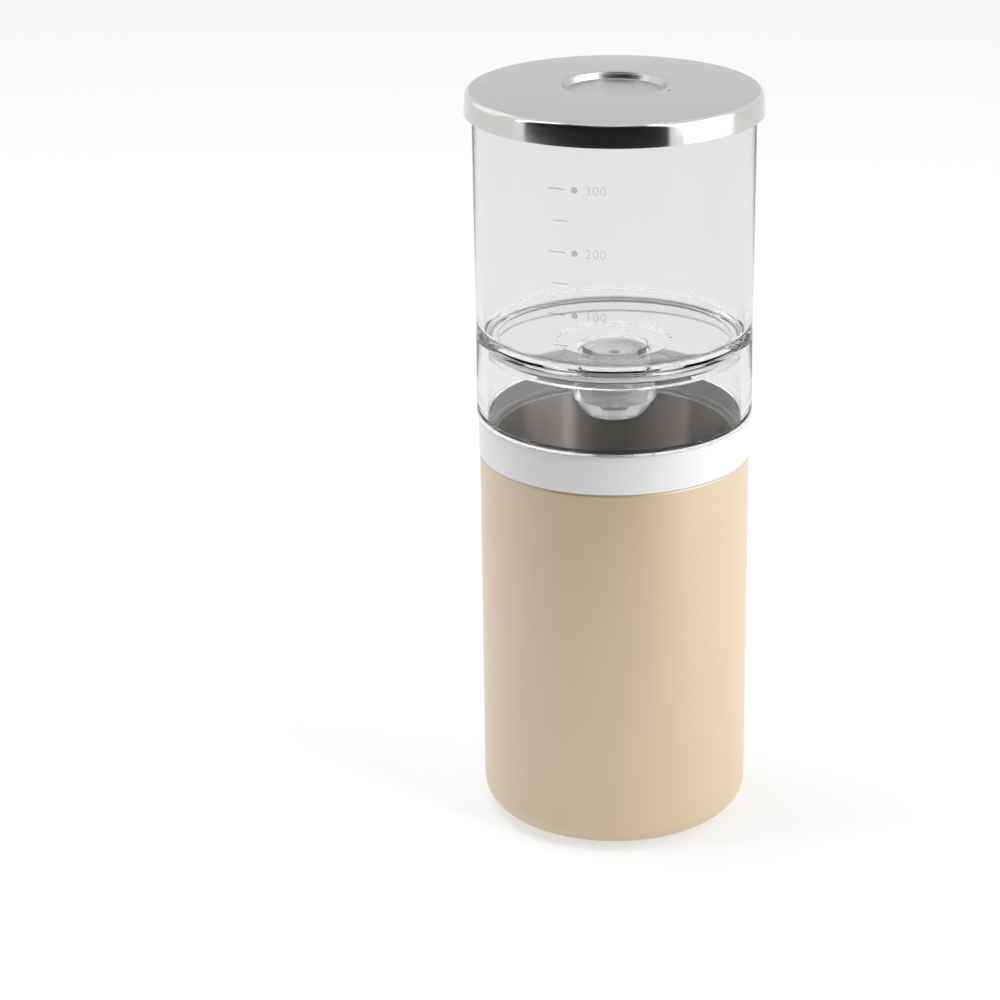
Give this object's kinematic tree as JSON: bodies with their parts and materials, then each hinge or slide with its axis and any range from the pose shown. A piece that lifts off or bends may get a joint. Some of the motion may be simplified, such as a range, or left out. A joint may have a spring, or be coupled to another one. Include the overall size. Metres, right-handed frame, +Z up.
{
  "type": "cold brew coffee maker",
  "caption": "Upright drip brewer: steel lid, clear water tank with a drip valve knob, clear collar, steel coffee basket and an insulated cup.",
  "frame": {"origin": "centre of the flat face that the cup stands on", "axes": "+Z up along the common axis of cup, collar, tank and lid; -Y towards the scale on the tank"},
  "size_m": [0.0904, 0.0904, 0.2351],
  "materials": {
    "shell_coating": "satin powder coat, warm beige",
    "steel": "brushed stainless steel",
    "steel_mesh": "fine etched stainless mesh",
    "foot_rubber": "matt silicone rubber",
    "ring_plastic": "white satin moulding",
    "clear_plastic": "clear polished moulding",
    "valve_plastic": "frosted natural moulding",
    "silicone": "frosted silicone"
  },
  "bodies": {
    "cup": {"outer_shell": "shell_coating", "inner_vessel": "steel", "base_plate": "steel", "foot_pad": "foot_rubber", "neck_ring": "ring_plastic", "neck_seal": "silicone"},
    "basket": {"coffee_basket": "steel", "filter_mesh": "steel_mesh", "mesh_hoop": "steel"},
    "spreader": {"spreader_plate": "steel"},
    "collar": {"drip_collar": "clear_plastic", "collar_seal": "silicone"},
    "tank": {"water_tank": "clear_plastic", "tank_seal": "silicone", "valve_washer": "silicone", "valve_body": "valve_plastic", "valve_nut": "valve_plastic", "valve_oring": "silicone"},
    "needle": {"valve_needle": "steel"},
    "knob": {"drip_knob": "clear_plastic"},
    "lid": {"lid_shell": "steel", "lid_gasket": "silicone"}
  },
  "joints": [
    {"name": "basket_lift", "type": "slide", "parent": "cup", "child": "basket", "axis": [0, 0, 1], "range_m": [0, 0.07]},
    {"name": "spreader_lift", "type": "slide", "parent": "basket", "child": "spreader", "axis": [0, 0, 1], "range_m": [0, 0.025]},
    {"name": "collar_lift", "type": "slide", "parent": "basket", "child": "collar", "axis": [0, 0, 1], "range_m": [0, 0.012]},
    {"name": "tank_lift", "type": "slide", "parent": "collar", "child": "tank", "axis": [0, 0, 1], "range_m": [0, 0.03]},
    {"name": "lid_lift", "type": "slide", "parent": "tank", "child": "lid", "axis": [0, 0, 1], "range_m": [0, 0.015]},
    {"name": "needle_travel", "type": "slide", "parent": "tank", "child": "needle", "axis": [0, 0, -1], "range_m": [0, 0.00113]},
    {"name": "knob_turn", "type": "hinge", "parent": "needle", "child": "knob", "pos_m": [0, 0, 0.14], "axis": [0, 0, -1], "range_deg": [0, 270]}
  ],
  "couplings": [
    {"joint": "needle_travel", "follows": "knob_turn", "m_per_rad": 0.00023873}
  ]
}
